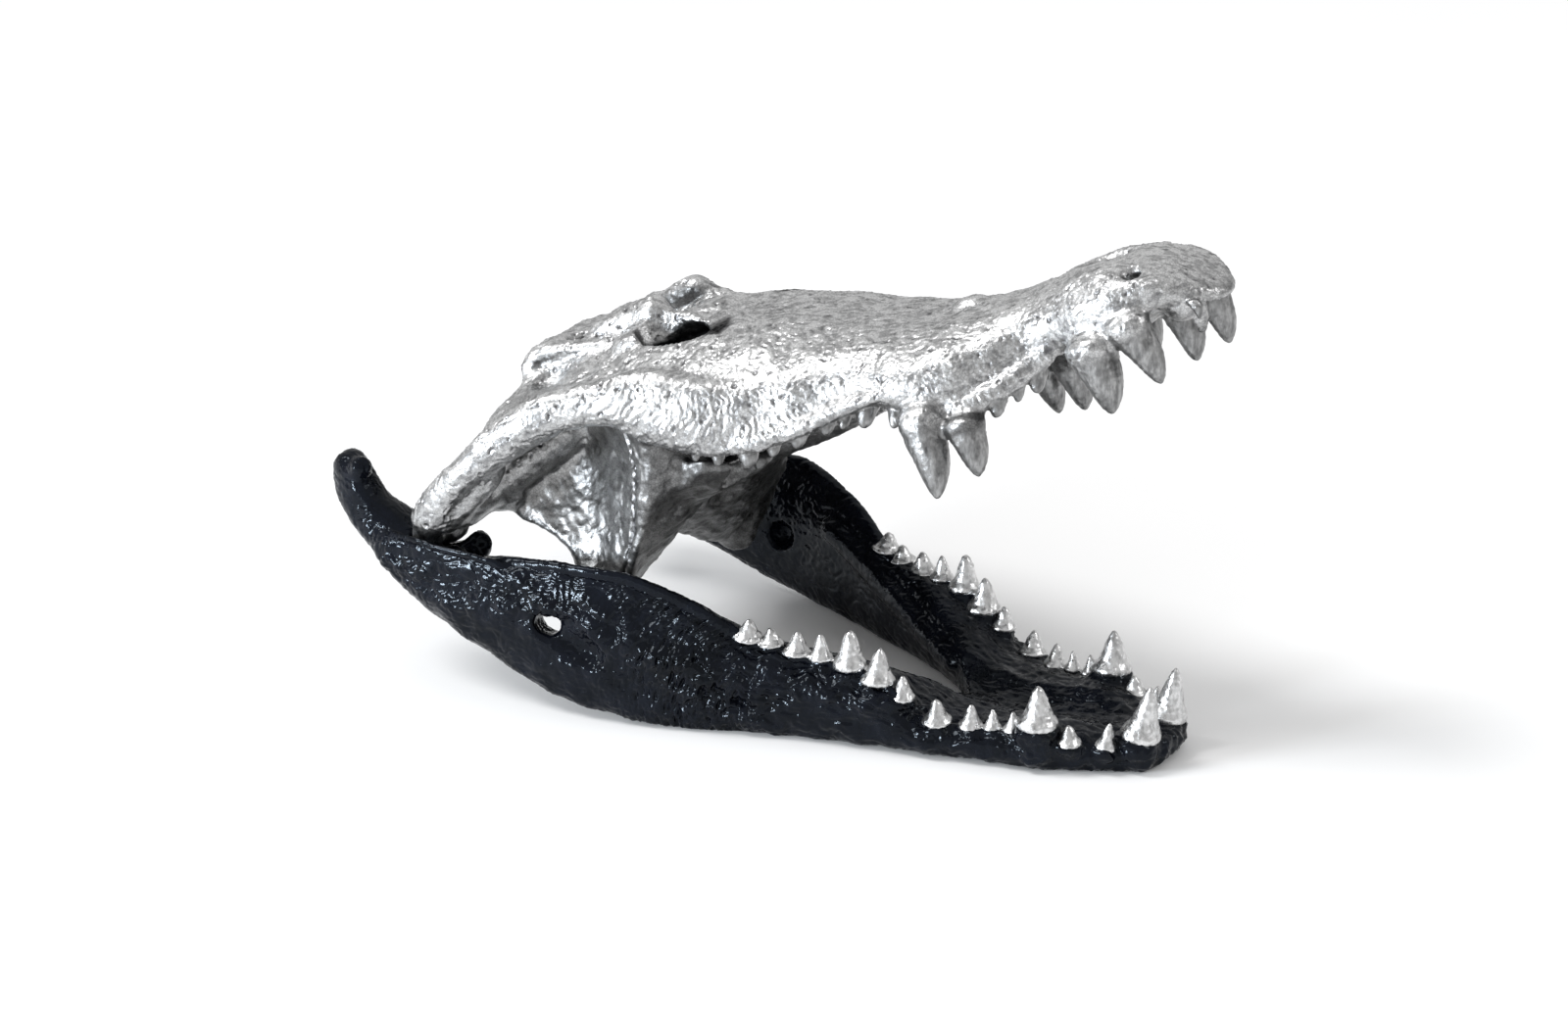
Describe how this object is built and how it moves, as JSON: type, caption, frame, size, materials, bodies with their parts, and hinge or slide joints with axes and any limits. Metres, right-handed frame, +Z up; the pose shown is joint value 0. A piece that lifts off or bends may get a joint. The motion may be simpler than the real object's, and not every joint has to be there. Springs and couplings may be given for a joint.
{
  "type": "cast resin crocodile skull",
  "caption": "Open-jawed crocodile skull cast as a decoration: silver-leaf upper skull and teeth over a gloss-black lower jaw that lies on the floor.",
  "frame": {"origin": "on the floor, below the centre of the whole part's box", "axes": "+X towards the snout, +Y to the animal's left, +Z up"},
  "size_m": [0.6782, 0.3325, 0.3814],
  "materials": {
    "silver_leaf": "crinkled silver leaf over cast resin, bright with dark recesses",
    "black_gloss": "gloss black lacquer over wrinkled cast resin"
  },
  "bodies": {
    "root": {"snout": "silver_leaf", "braincase": "silver_leaf", "lower_jaw_left": "black_gloss", "lower_jaw_right": "black_gloss"}
  },
  "joints": []
}
